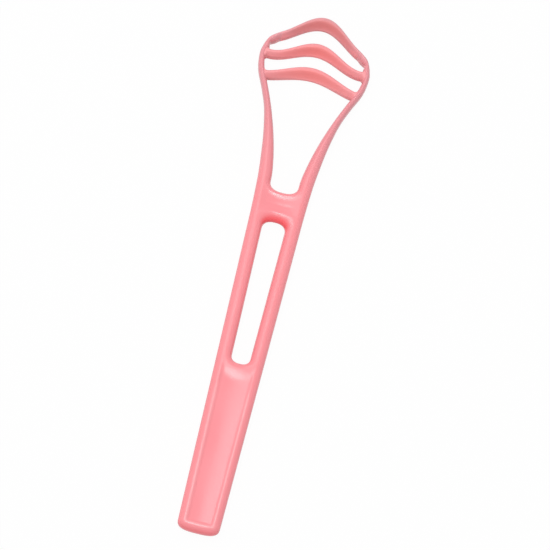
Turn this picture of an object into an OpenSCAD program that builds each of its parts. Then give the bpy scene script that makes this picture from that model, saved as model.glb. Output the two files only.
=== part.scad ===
// Tongue scraper: a slim handle with a finger slot, and a wide head with three arched blades.
// The real one is a single moulding, so each node is one of its natural regions. They meet
// face to face and carry each other.
// Millimetres. It lies on its back: X across, Y from the handle to the head, Z up.
// The origin is under the middle of its length.

/* [Handle] */
// Length from the free end of the handle to the tip of the head
overall_len = 170; // [160:1:180]
// Width of the handle near its free end
end_w = 12.4; // [11.5:0.1:13.5]
// Width of the handle at the head end of the finger slot
neck_w = 16; // [15.5:0.1:17]
// Thickness of the handle
handle_t = 4.4; // [3.8:0.1:5]
// How far the round edges reach in from the outline
edge_r = 2.1; // [1.7:0.05:2.1]
// Length of the rounded free end
end_round = 3; // [2.4:0.1:4]

/* [Finger slot] */
// Distance from the free end of the handle to the slot
slot_start = 53.3; // [50:0.1:58]
// Length of the slot
slot_len = 46.6; // [42:0.1:50]
// Width of the slot at its handle end
slot_low_w = 5.5; // [4.8:0.1:5.8]
// Width of the slot at its head end
slot_high_w = 7.1; // [6.4:0.1:7.3]
// Length of the rounding at the slot's handle end
slot_low_round = 2.5; // [1.8:0.1:3]
// Length of the rounding at the slot's head end
slot_high_round = 3; // [2:0.1:3.6]

/* [Thumb panel] */
// Depth of the sunk panel at its sides
panel_depth = 0.2; // [0.1:0.05:0.4]
// How much deeper the floor of the panel is at its middle
panel_hollow = 0.25; // [0:0.05:0.4]
// Width of the slope between the rim of the panel and its floor
panel_slope = 1; // [0.6:0.1:1.6]
// Length over which the floor of the panel rises again towards the slot
panel_fade = 4; // [2:0.1:8]
// How much further the panel reaches at its sides than at its middle, round the slot's end
panel_horn = 1.6; // [0:0.1:2]
// Distance from the slot to the panel
panel_gap = 2.4; // [2.2:0.1:6]
// Distance from the free end of the handle to the panel
panel_start = 2.2; // [2.1:0.1:5]

/* [Neck] */
// Length of the bridge between the slot and the opening of the head
neck_len = 9.7; // [8.5:0.1:12]
// How much each edge of the neck flares out towards the arms
neck_flare = 0.25; // [0:0.05:0.6]
// Depth of the hollow in the bridge at its sides
dish_depth = 0.25; // [0.1:0.05:0.4]
// How much deeper the hollow in the bridge is at its middle
dish_hollow = 0.3; // [0:0.05:0.4]
// Distance from the slot to the hollow in the bridge
dish_gap = 2; // [1:0.1:2.6]
// Length over which that hollow deepens after the slot
dish_fall = 2; // [1:0.1:2.6]
// Length over which that hollow rises again towards the opening
dish_rise = 3.2; // [2:0.1:3.6]
// How much further the hollow reaches at its sides than at its middle, round the opening's end
dish_horn = 1.4; // [0:0.1:1.6]

/* [Head] */
// Width across the head
head_w = 34.5; // [32:0.1:37]
// Thickness of the head
head_t = 3.8; // [3.2:0.1:4.2]
// Width of the opening of the head at the neck
opening_w = 8.6; // [7.6:0.1:8.8]
// Length of the rounding at the bottom of the opening
opening_round = 3.2; // [2.4:0.1:4]
// Width of an arm where it is slimmest, beside the blades
cheek_w = 1.8; // [1.6:0.1:2.3]

/* [Blades] */
// Width of a blade at its middle
blade_w = 3.7; // [3.4:0.1:4.4]
// Width of a blade at its ends
blade_end_w = 2.3; // [1.9:0.1:2.6]
// Height of the low back edge of a blade
blade_back_h = 1.2; // [0.8:0.1:2.2]
// Power by which a blade's face falls less as the blade narrows
blade_fade = 2; // [0:0.1:3]
// How far the blades stand clear of the plane that the back lies on
blade_lift = 0.3; // [0:0.05:0.6]
// Radius of the scraping edge
crest_r = 0.7; // [0.4:0.05:1]
// How far the tip blade bows from its ends to its middle
tip_rise = 9.15; // [8.5:0.05:9.8]
// Half the width over which the tip blade bows
tip_span = 15.8; // [15:0.1:17]
// How far the middle blade bows
middle_rise = 5.7; // [5:0.1:6.6]
// Half the width over which the middle blade bows
middle_span = 14.3; // [13.5:0.1:15.5]
// How far the rear blade bows
rear_rise = 4.8; // [4:0.1:5.4]
// Half the width over which the rear blade bows
rear_span = 16.6; // [15.5:0.1:17]
// Distance from the tip of the head to the front edge of the middle blade
middle_offset = 9.2; // [8.6:0.1:9.6]
// Distance from the tip of the head to the front edge of the rear blade
rear_offset = 17.6; // [17:0.1:18.2]

/* [Hidden] */
// Share of a half thickness, and of a bar's half width, that its round edges take
round_share = 0.94;
bar_round_share = 0.98;
// Steps in each quarter of a round edge, along a rounded end and along a slope
edge_steps = 4;
round_steps = 7;
slope_steps = 5;
// Powers of the rounded ends of the holes and of the handle
hole_power = 2.5;
end_power = 3;
// Turn at which a rounded end starts, so that it closes with a small flat
nose_turn = 12;
// One overrun for every cut
over = 1;

// Places along the part
end_y = -overall_len / 2;
tip_y = overall_len / 2;
slot_y0 = end_y + slot_start;
slot_y1 = slot_y0 + slot_len;
rail_y0 = slot_y0 + slot_low_round;
rail_y1 = slot_y1 - slot_high_round;
opening_y0 = slot_y1 + neck_len;
arm_y0 = opening_y0 + opening_round;
panel_y0 = end_y + panel_start;
panel_y1 = slot_y0 - panel_gap;

// Places across the part
head_half = head_w / 2;
arm_x0 = half_width(arm_y0);
arm_w = arm_x0 - opening_w / 2;
shoulder_share = 0.694;
shoulder_x = shoulder_share * head_half;

// Extra points across the top of the handle, as shares of its flat width
top_shares = [0.95, 0.9, 0.85, 0.75, 0.5, 0.25, 0.15, 0.1, 0.05];

// An arm's outer edge from the neck to the shoulder: the share of its widening, the share of the
// length to the tip, the turn of the section in degrees, the share of the taper, and the share
// of the way from a round bar to the wedge of a blade
arm_shares = [
    [0, 0, 0, 1, 0], [0.074, 0.123, 5, 0.895, 0], [0.193, 0.263, 10, 0.54, 0],
    [0.383, 0.404, 17, 0.166, 0], [0.625, 0.509, 24, 0.08, 0], [0.909, 0.614, 16, 0.08, 0],
    [1, 0.703, 0, 0.02, 0], [0.957, 0.755, -14, 0.18, 0], [0.877, 0.79, -32, -0.08, 0.12],
    [0.782, 0.816, -58, 0.1, 0.5], [0.606, 0.839, -78, 0.24, 0.95]
];
// Steps along each stretch of an arm and along a blade
arm_steps = 4;
blade_steps = 26;
// Extra points across the face of a blade, as shares of its flat width, and the power that
// makes that face hollow ground
face_shares = [0.8, 0.6, 0.4, 0.2];
hollow_power = 1.5;

moulding_pink = "#f78f95";
blade_pink = "#ef8088";

// Numbers and smooth curves

function clamp(u) = max(0, min(1, u));
function ease(u) = let (c = clamp(u)) c * c * (3 - 2 * c);
function mix(a, b, u) = a + (b - a) * u;
function flip(list) = [for (i = [len(list) - 1 : -1 : 0]) list[i]];

// A row on the smooth curve through a list of rows, at a step from the second of them. The
// first and the last row only give the curve its direction at its ends
function spline_at(list, u) =
    let (i = min(floor(u), len(list) - 4), f = u - i)
    let (a = list[i], b = list[i + 1], c = list[i + 2], d = list[i + 3])
    0.5 * (2 * b + (c - a) * f + (2 * a - 5 * b + 4 * c - d) * f * f
        + (3 * b - a - 3 * c + d) * f * f * f);

// Half the width of the handle and neck at a place along them
function half_width(y) =
    mix(end_w, neck_w, (y - end_y) / (slot_y1 - end_y)) / 2
    + neck_flare * pow(clamp((y - slot_y1) / (arm_y0 - slot_y1)), 2);

// Half the width of the finger slot
function slot_half(y) = mix(slot_low_w, slot_high_w, (y - slot_y0) / slot_len) / 2;

// The part of a curved free end's width and of its height that is reached some way in
function end_width_share(e) =
    pow(1 - pow(clamp(1 - e / end_round), end_power), 1 / end_power);
function end_height_share(e) = sqrt(1 - pow(clamp(1 - e / edge_r), 2));

// How deep the thumb panel and the hollow of the neck are, from the distance to the rim and
// from the share of the way to it
function panel_at(side, share, y) =
    let (square = min(share * share, 1))
    (panel_depth * ease(side / panel_slope) + panel_hollow * (1 - square))
    * ease((y - panel_y0) / panel_slope) * ease((panel_y1 + panel_horn * square - y) / panel_fade);
function dish_at(side, share, y) =
    let (square = min(share * share, 1))
    (dish_depth * ease(side / panel_slope) + dish_hollow * (1 - square))
    * ease((y - slot_y1 - dish_gap) / dish_fall)
    * ease((opening_y0 + dish_horn * square - y) / dish_rise);

// How far a blade has bowed back at a place across it, as a share of its rise, and how fast
// that grows outwards
function bow(x, span) = (1 - cos(180 * min(abs(x) / span, 1))) / 2;
function bow_slope(x, span) = PI / 2 / span * sin(180 * x / span);

// Sections and closed solids

// The quarter of a round edge about its centre, from a starting angle
function quarter(centre, rx, rz, start) = [
    for (i = [0 : edge_steps])
        let (a = start + 90 * i / edge_steps)
        centre + [rx * cos(a), rz * sin(a)]
];

// Section of a bar: across it from its back edge, and up. The top may carry extra points
function bar_section(w, t, rx, rz, top = []) = concat(
    quarter([w - rx, t - rz], rx, rz, 0),
    [for (s = top) [mix(rx, w - rx, s), t]],
    quarter([rx, t - rz], rx, rz, 90),
    quarter([rx, rz], rx, rz, 180),
    quarter([w - rx, rz], rx, rz, 270)
);
function edge_on(w) = min(edge_r, bar_round_share * w / 2);

// A closed solid through sections that have the same number of points
module skin(rings) {
    n = len(rings[0]);
    last = (len(rings) - 1) * n;
    sides = [
        for (j = [0 : len(rings) - 2], i = [0 : n - 1])
            let (a = j * n + i, b = j * n + (i + 1) % n)
            each [[a, b, b + n], [a, b + n, a + n]]
    ];
    ends = [[for (i = [n - 1 : -1 : 0]) i], [for (i = [0 : n - 1]) last + i]];
    polyhedron([for (ring = rings) each ring], concat(sides, ends));
}

// One section across the handle, with the hollows of its top
function handle_ring(y, place) =
    let (e = y - end_y)
    let (half = half_width(y) * end_width_share(e), t = handle_t * end_height_share(e))
    let (rx = edge_on(2 * half))
    [
        for (p = bar_section(2 * half, t, rx, round_share * t / 2, top_shares))
            let (x = p[0] - half, side = half - rx - abs(x))
            let (share = x / (half - rx))
            let (sunk = panel_at(side, share, y) + dish_at(side, share, y))
            [x, place, p[1] + (handle_t - t) / 2 - (p[1] == t ? sunk : 0)]
    ];

// Sections along a stretch of the handle
function handle_run(y0, y1, steps) = [
    for (i = [0 : steps]) let (y = mix(y0, y1, i / steps)) handle_ring(y, y)
];

// Sections of the rounded free end, up to where the handle has its full thickness
function free_end() = [
    for (i = [0 : round_steps])
        let (y = end_y + edge_r * (1 - cos(mix(nose_turn, 90, i / round_steps))))
        handle_ring(y, i == 0 ? end_y : y)
];

// Outline of a rounded end as half widths and places, from its middle outwards
function round_outline(half, y, length) = [
    for (i = [0 : round_steps])
        let (a = mix(nose_turn, 90, i / round_steps))
        let (along = i == 0 ? 0 : length * (1 - pow(cos(a), 2 / hole_power)))
        [half * pow(sin(a), 2 / hole_power), y + along]
];

// Moves an outline of half widths outwards, square to itself
function grown(outline, reach) =
    let (last = len(outline) - 1)
    [
        for (i = [0 : last])
            let (p = i == 0 ? [-outline[0][0], outline[0][1]] : outline[i - 1])
            let (q = i == last ? [-outline[last][0], outline[last][1]] : outline[i + 1])
            let (d = (q - p) / norm(q - p))
            outline[i] + reach * [d[1], -d[0]]
    ];

// Cuts a hole with round rims through the handle, from an outline of half widths
module hole_cutter(outline) {
    rz = round_share * handle_t / 2;
    turns = [for (i = [-edge_steps : edge_steps]) 90 * i / edge_steps];
    levels = concat(
        [[edge_r, -over]],
        [for (a = turns) if (a <= 0) [edge_r * (1 - cos(a)), rz + rz * sin(a)]],
        [for (a = turns) if (a >= 0) [edge_r * (1 - cos(a)), handle_t - rz + rz * sin(a)]],
        [[edge_r, handle_t + over]]
    );
    n = len(outline);
    points = [
        for (level = levels)
            let (rim = grown(outline, level[0]))
            each concat(
                [for (p = rim) [p[0], p[1], level[1]]],
                [for (p = flip(rim)) [-p[0], p[1], level[1]]]
            )
    ];
    ring = 2 * n;
    sides = [
        for (j = [0 : len(levels) - 2], i = [0 : ring - 1])
            let (a = j * ring + i, b = j * ring + (i + 1) % ring)
            each [[a, b + ring, b], [a, a + ring, b + ring]]
    ];
    top = (len(levels) - 1) * ring;
    floors = [
        for (i = [0 : n - 2])
            let (strip = [i, i + 1, ring - 2 - i, ring - 1 - i])
            each [strip, [for (k = flip(strip)) top + k]]
    ];
    polyhedron(points, concat(sides, floors));
}

module slot_cutter() {
    low = round_outline(slot_half(rail_y0), 0, slot_low_round);
    high = round_outline(slot_half(rail_y1), 0, slot_high_round);
    hole_cutter(concat(
        [for (p = low) [p[0], slot_y0 + p[1]]],
        [for (p = flip(high)) [p[0], slot_y1 - p[1]]]
    ));
}

module opening_cutter() {
    low = round_outline(opening_w / 2, opening_y0, opening_round);
    hole_cutter(concat(low, [[opening_w / 2, arm_y0 + over + edge_r]]));
}

// The nodes

// Handle from its free end to the finger slot, with the sunk thumb panel
module grip() {
    color(moulding_pink) difference() {
        skin(concat(
            free_end(),
            handle_run(panel_y0, panel_y0 + panel_slope, slope_steps),
            handle_run(panel_y1 - panel_fade, panel_y1 + panel_horn, slope_steps + 2),
            [handle_ring(rail_y0, rail_y0)]
        ));
        slot_cutter();
    }
}

// Round bar on the right of the finger slot
module rail() {
    color(moulding_pink) skin([
        for (y = [rail_y0, rail_y1])
            let (x0 = slot_half(y), w = half_width(y) - x0)
            [
                for (p = bar_section(w, handle_t, edge_on(w), round_share * handle_t / 2))
                    [x0 + p[0], y, p[1]]
            ]
    ]);
}

// Bridge between the finger slot and the opening of the head
module neck() {
    color(moulding_pink) difference() {
        skin(handle_run(rail_y1, arm_y0, 2 * round_steps));
        slot_cutter();
        opening_cutter();
    }
}

// Section of a blade at a share of the way from a round bar to a wedge, which climbs from its
// low back edge up to the scraping edge
function wedge_section(w, thick, wedge) =
    let (lift = wedge * blade_lift, t = thick - lift)
    let (drop = wedge * (1 - blade_back_h / t) * pow(min(w / blade_w, 1), blade_fade))
    let (rx = mix(edge_on(w), crest_r, wedge), rz = mix(round_share * t / 2, crest_r, wedge))
    [
        for (p = bar_section(w, t, rx, rz, face_shares))
            let (share = pow(clamp(p[0] / (w - rx)), hollow_power))
            [p[0], lift + p[1] * (1 - drop * (1 - share))]
    ];

// Width of a blade at a place across it, and the front edge of the tip blade
function blade_width(x, span) = mix(blade_w, blade_end_w, bow(x, span));
function tip_front(x) = tip_y - tip_rise * bow(x, tip_span);

// Places along an arm: its outer edge, the turn of its section, its width and thickness, and
// its wedge. The last one is the end of the tip blade
arm_stations = concat(
    [
        for (s = arm_shares)
            [
                mix(arm_x0, head_half, s[0]), mix(arm_y0, tip_y, s[1]), s[2],
                mix(cheek_w, arm_w, s[3]), mix(handle_t, head_t, s[1]), s[4]
            ]
    ],
    [[shoulder_x, tip_front(shoulder_x), -90, blade_width(shoulder_x, tip_span), head_t, 1]]
);

// Directions in which an arm runs on into the neck and into the tip blade
neck_slope = (neck_w - end_w) / 2 / (slot_y1 - end_y) + 2 * neck_flare / (arm_y0 - slot_y1);
into_neck = [-neck_slope, -1, 0, -neck_slope, 0, 0];
tip_slope = bow_slope(shoulder_x, tip_span);
into_blade = [-1, tip_rise * tip_slope, 0, (blade_w - blade_end_w) * tip_slope, 0, 0]
    / norm([1, tip_rise * tip_slope]);

// A row beyond an end, so that the curve leaves that end in a given direction
function lead_row(far, near, along) = far + 2 * norm([near[0] - far[0], near[1] - far[1]]) * along;
arm_last = len(arm_stations) - 1;
arm_rows = concat(
    [lead_row(arm_stations[1], arm_stations[0], into_neck)],
    arm_stations,
    [lead_row(arm_stations[arm_last - 1], arm_stations[arm_last], into_blade)]
);
arm_places = [for (i = [0 : arm_steps * arm_last]) spline_at(arm_rows, i / arm_steps)];

// A point some way in from the outer edge of an arm
function arm_point(row, inset) =
    [row[0], row[1]] - inset * [cos(row[2]), -sin(row[2])];

// Right arm and shoulder: a bar whose section turns with its outer edge
module arm() {
    color(moulding_pink) skin([
        for (row = arm_places)
            [
                for (p = wedge_section(row[3], row[4], clamp(row[5])))
                    let (at = arm_point(row, row[3] - p[0]))
                    [at[0], at[1], p[1]]
            ]
    ]);
}

// Arched blade: a wedge that bows along a cosine curve and narrows towards its ends
module blade(front_y, rise, span, reach) {
    skin([
        for (i = [0 : blade_steps])
            let (x = mix(reach, -reach, i / blade_steps), w = blade_width(x, span))
            let (y0 = front_y - rise * bow(x, span) - w)
            [for (p = wedge_section(w, head_t, 1)) [x, y0 + p[0], p[1]]]
    ]);
}

// The space between the middles of the two arms
module head_inside() {
    right = [for (row = arm_places) arm_point(row, row[3] / 2)];
    left = [for (p = flip(right)) [-p[0], p[1]]];
    translate([0, 0, -over]) linear_extrude(head_t + 2 * over)
        polygon(concat(right, [[0, tip_y]], left));
}

module tip_blade() {
    color(blade_pink) blade(tip_y, tip_rise, tip_span, shoulder_x);
}

// A blade that ends against the two arms
module inner_blade(front_offset, rise, span) {
    color(blade_pink) difference() {
        intersection() {
            blade(tip_y - front_offset, rise, span, head_half);
            head_inside();
        }
        arm();
        mirror([1, 0, 0]) arm();
    }
}

grip();
mirror([1, 0, 0]) rail();  // left_rail
rail();  // right_rail
neck();
mirror([1, 0, 0]) arm();  // left_arm
arm();  // right_arm
tip_blade();
inner_blade(middle_offset, middle_rise, middle_span);  // middle_blade
inner_blade(rear_offset, rear_rise, rear_span);  // rear_blade
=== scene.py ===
"""Looks of the tongue scraper: its moulded regions, its plastic, and the studio round it.

Every region of the moulding is a closed mesh of its own that stands for one CAD node. Lengths
are in millimetres, as in the part's drawing, and become metres where a mesh is made. X is
across, Y runs from the handle to the head, and Z is up.
"""

import logging
import math
from collections.abc import Callable, Sequence
from dataclasses import dataclass, field
from enum import Enum

import bpy
import numpy as np
from mathutils import Matrix, Vector
from mathutils.geometry import delaunay_2d_cdt


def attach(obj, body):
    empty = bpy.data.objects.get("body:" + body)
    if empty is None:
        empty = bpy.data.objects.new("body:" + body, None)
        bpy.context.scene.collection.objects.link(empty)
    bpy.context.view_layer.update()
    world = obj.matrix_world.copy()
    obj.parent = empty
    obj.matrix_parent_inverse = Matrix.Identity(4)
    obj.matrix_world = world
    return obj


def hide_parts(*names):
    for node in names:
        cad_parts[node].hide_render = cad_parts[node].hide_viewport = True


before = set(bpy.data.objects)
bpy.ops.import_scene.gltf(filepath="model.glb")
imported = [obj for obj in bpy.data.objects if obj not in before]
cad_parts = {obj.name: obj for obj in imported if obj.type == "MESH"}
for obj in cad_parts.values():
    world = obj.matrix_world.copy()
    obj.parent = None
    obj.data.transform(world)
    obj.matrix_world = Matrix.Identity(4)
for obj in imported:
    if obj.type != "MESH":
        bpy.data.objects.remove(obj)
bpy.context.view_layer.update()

LOG = logging.getLogger("tongue_scraper")
MM = 0.001
ROOT = "root"
# Point attribute of painted shade, with painted highlight and sheen below 0
SHADE_AND_HIGHLIGHT = "depth"
TINY = 1e-9
NO_LENGTH = 1e-12
CHUNK = 2000
Array = np.ndarray
Value = Array | float
Socket = bpy.types.NodeSocket


class Side(Enum):
    """Side of the midline that a piece lies on."""

    LEFT = -1
    RIGHT = 1


def ease(share: Value) -> Array:
    """Smooth step from 0 to 1."""
    held = np.clip(share, 0.0, 1.0)
    return held * held * (3.0 - 2.0 * held)


def mix(first: Value, last: Value, share: Value) -> Value:
    """Value a share of the way from the first to the last."""
    return first + (last - first) * share


def unit(vectors: Array) -> Array:
    """Vectors along the last axis, made one long."""
    length = np.linalg.norm(vectors, axis=-1, keepdims=True)
    return vectors / np.maximum(length, NO_LENGTH)


def resampled(points: Array, spacing: float) -> Array:
    """Points at an even spacing along an open line of points.

    Args:
        points: The line, two numbers a row.
        spacing: Distance between two points of the result, about.

    Returns:
        The new line, with the same first and last points.
    """
    steps = np.linalg.norm(np.diff(points, axis=0), axis=1)
    run = np.concatenate([[0.0], np.cumsum(steps)])
    count = max(2, int(round(run[-1] / spacing)) + 1)
    at = np.linspace(0.0, run[-1], count)
    return np.stack([np.interp(at, run, points[:, k]) for k in (0, 1)], axis=1)


def mirrored(line: Array) -> Array:
    """A line of the right side, walked back on the left side."""
    return line[::-1] * [-1, 1]


def round_corner(power: float, count: int) -> tuple[Array, Array]:
    """Shape of a rounded corner, from the midline to the side.

    Args:
        power: Power of its superellipse, where 2 is a circle.
        count: Number of points.

    Returns:
        The shares of its width and of its length that each point has reached.
    """
    turn = np.linspace(0.0, np.pi / 2, count)
    return np.sin(turn) ** (2 / power), 1 - np.cos(turn) ** (2 / power)


def linked(name: str, data: bpy.types.ID) -> bpy.types.Object:
    """A new object of the data, linked to the scene."""
    made = bpy.data.objects.new(name, data)
    bpy.context.scene.collection.objects.link(made)
    return made


@dataclass(frozen=True)
class Drawing:
    """Sizes that several regions share, in millimetres, as in the part's drawing."""

    end_y: float = -85.0
    tip_y: float = 85.0
    end_w: float = 12.4
    neck_w: float = 16.0
    handle_t: float = 4.4
    edge_r: float = 2.1
    round_share: float = 0.94
    end_round: float = 3.0
    end_power: float = 3.0
    slot_y0: float = -31.7
    slot_y1: float = 14.9
    slot_low_w: float = 5.5
    slot_high_w: float = 7.1
    slot_low_round: float = 2.5
    slot_high_round: float = 3.0
    hole_power: float = 2.5
    neck_len: float = 9.7
    neck_flare: float = 0.25
    flare_end: float = 2.0
    opening_w: float = 8.6
    opening_round: float = 3.2
    head_w: float = 34.5
    head_t: float = 3.8
    cheek_w: float = 1.8
    shoulder_share: float = 0.694
    blade_w: float = 3.7
    blade_end_w: float = 2.3
    blade_back_h: float = 1.2
    blade_fade: float = 2.0
    blade_lift: float = 0.3
    crest_r: float = 0.7
    crest_share: float = 0.4
    crest_fall: float = 1.3
    tip_rise: float = 9.15
    tip_span: float = 15.8

    @property
    def edge_rz(self) -> float:
        """Height of the handle's round edges."""
        return self.round_share * self.handle_t / 2

    @property
    def rail_y0(self) -> float:
        """Where the rails start."""
        return self.slot_y0 + self.slot_low_round

    @property
    def rail_y1(self) -> float:
        """Where the rails end."""
        return self.slot_y1 - self.slot_high_round

    @property
    def opening_y0(self) -> float:
        """Bottom of the head's opening."""
        return self.slot_y1 + self.neck_len

    @property
    def arm_y0(self) -> float:
        """Where the arms start."""
        return self.opening_y0 + self.opening_round

    @property
    def head_half(self) -> float:
        """Half the width of the head."""
        return self.head_w / 2

    @property
    def shoulder_x(self) -> float:
        """Where the arms meet the tip blade, from the midline."""
        return self.shoulder_share * self.head_half

    def half_width(self, y: Value) -> Array:
        """Half the width of the handle and neck at a place along them."""
        share = (y - self.end_y) / (self.slot_y1 - self.end_y)
        flare = np.clip((y - self.slot_y1) / (self.arm_y0 - self.slot_y1), 0.0, self.flare_end)
        return mix(self.end_w, self.neck_w, share) / 2 + self.neck_flare * flare**2

    def slot_half(self, y: Value) -> Array:
        """Half the width of the finger slot at a place along it."""
        share = (y - self.slot_y0) / (self.slot_y1 - self.slot_y0)
        return mix(self.slot_low_w, self.slot_high_w, share) / 2

    def tip_bow(self, x: float) -> float:
        """How far the tip blade has bowed back at a place across it, as a share of its rise."""
        return (1 - math.cos(math.pi * x / self.tip_span)) / 2


DRAWING = Drawing()
NO_ROOT = 99.0
WHITE = (1.0, 1.0, 1.0, 1.0)

# Clouds of tone, grain of the surface, and scuffs along the part
CLOUD_SCALE, CLOUD_DETAIL, CLOUD_RUN, CLOUD_DEPTH = 60.0, 3.0, (0.3, 0.75), 0.05
GRAIN_SCALE, GRAIN_DETAIL, GRAIN_POLISH, GRAIN_HEIGHT = 220.0, 4.0, 0.08, 0.5
SCUFF_STRETCH, SCUFF_DETAIL = (2600.0, 160.0, 2600.0), 2.0
SCUFF_RUN, SCUFF_POLISH = (0.55, 0.8), 0.2


class Outline:
    """A line of points in plan, with the directions into the plastic.

    Args:
        points: The line, two numbers a row, with the plastic on its left.
    """

    def __init__(self, points: Array) -> None:
        """Keeps the points and works out the normal at each."""
        self.points = points
        along = unit(np.gradient(points, axis=0))
        self.inward = np.stack([-along[:, 1], along[:, 0]], axis=1)

    def ring(self, inset: float) -> Array:
        """The line moved into the plastic."""
        return self.points + inset * self.inward

    def nearest(self, places: Array) -> tuple[Array, Array]:
        """Distance to the line, and the direction from it into the plastic.

        Args:
            places: Points in plan, two numbers a row.

        Returns:
            The distances, and one inward direction a row.
        """
        first, step = self.points[:-1], np.diff(self.points, axis=0)
        length = (step**2).sum(axis=1)
        gaps, inward = [], []
        for chunk in np.array_split(places, max(1, len(places) // CHUNK)):
            reach = chunk[:, None, :] - first[None]
            share = np.clip((reach * step).sum(axis=2) / length, 0.0, 1.0)
            gap = np.linalg.norm(reach - share[..., None] * step, axis=2)
            best = gap.argmin(axis=1)
            part = share[np.arange(len(chunk)), best][:, None]
            gaps.append(gap.min(axis=1))
            inward.append(mix(self.inward[best], self.inward[best + 1], part))
        return np.concatenate(gaps), unit(np.concatenate(inward))


@dataclass
class Shell:
    """A closed mesh in the making, with painted shade and highlight for each point and its own
    normals.
    """

    points: Array
    # Share of painted shade for each point, below 0 a painted highlight
    depth: Array
    faces: list[tuple[int, ...]] = field(default_factory=list)
    normals: list[Array] = field(default_factory=list)

    def add(self, face: Sequence[int], normals: Sequence[Array]) -> None:
        """Adds a face and the normals of its corners."""
        self.faces.append(tuple(int(k) for k in face))
        self.normals.extend(normals)

    def make(self, name: str, material: bpy.types.Material) -> bpy.types.Object:
        """Turns the shell into an object in metres, at the origin.

        Args:
            name: Name of the object and its mesh.
            material: What it is finished with.

        Returns:
            The object, linked to the scene.
        """
        mesh = bpy.data.meshes.new(name)
        mesh.from_pydata((self.points * MM).tolist(), [], self.faces)
        mesh.shade_smooth()
        mesh.normals_split_custom_set([tuple(n) for n in self.normals])
        mesh.attributes.new(SHADE_AND_HIGHLIGHT, "FLOAT", "POINT").data.foreach_set("value", self.depth)
        mesh.materials.append(material)
        return linked(name, mesh)


@dataclass
class Sheet:
    """The handle's plan, with the top and the underside of each of its points."""

    places: Array
    distance: Array
    inward: Array
    top: Array
    under: Array
    top_normals: Array
    under_normals: Array


@dataclass
class Relief:
    """How the hollows of the handle's top lie: the thumb panel and the dish of the neck.

    The panel's hollow is uneven by a share, the wave, and the dish has one low step across it.
    """

    panel_y0: float = -82.8
    panel_y1: float = -33.4
    panel_depth: float = 0.2
    panel_hollow: float = 0.25
    panel_slope: float = 1.0
    panel_fade: float = 5.0
    panel_horn: float = 1.6
    wave: float = 0.2
    wave_y: float = -56.0
    wave_len: float = 23.0
    dish_depth: float = 0.1
    dish_hollow: float = 0.4
    dish_gap: float = 1.2
    dish_fall: float = 4.0
    dish_rise: float = 3.0
    dish_horn: float = 1.4
    dish_slope: float = 2.2
    step: float = 0.08
    step_y: float = 19.8
    step_len: float = 1.1
    probe: float = 0.01

    def depth(self, places: Array) -> Array:
        """How deep the top is sunk at points in plan."""
        x, y = places[:, 0], places[:, 1]
        half = DRAWING.half_width(y)
        side = half - DRAWING.edge_r - np.abs(x)
        share = np.clip(x / (half - DRAWING.edge_r), -1.0, 1.0)
        uneven = 1 + self.wave * np.cos(2 * np.pi * (y - self.wave_y) / self.wave_len)
        hollow = self.panel_hollow * uneven * (1 - share**2)
        panel = (
            (self.panel_depth * ease(side / self.panel_slope) + hollow)
            * ease((y - self.panel_y0) / self.panel_slope)
            * ease((self.panel_y1 + self.panel_horn * share**2 - y) / self.panel_fade)
        )
        step = self.step * ease((y - self.step_y) / self.step_len)
        dish = (
            (
                self.dish_depth * ease(side / self.dish_slope)
                + (self.dish_hollow + self.step - step) * (1 - share**2)
            )
            * ease((y - DRAWING.slot_y1 - self.dish_gap) / self.dish_fall)
            * ease((DRAWING.opening_y0 + self.dish_horn * share**2 - y) / self.dish_rise)
        )
        return panel + dish

    def slope(self, places: Array) -> Array:
        """Slope of the depth across and along, one pair a row."""
        pairs = []
        for offset in self.probe * np.eye(2):
            rise = self.depth(places + offset) - self.depth(places - offset)
            pairs.append(rise / (2 * self.probe))
        return np.stack(pairs, axis=1)


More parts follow.
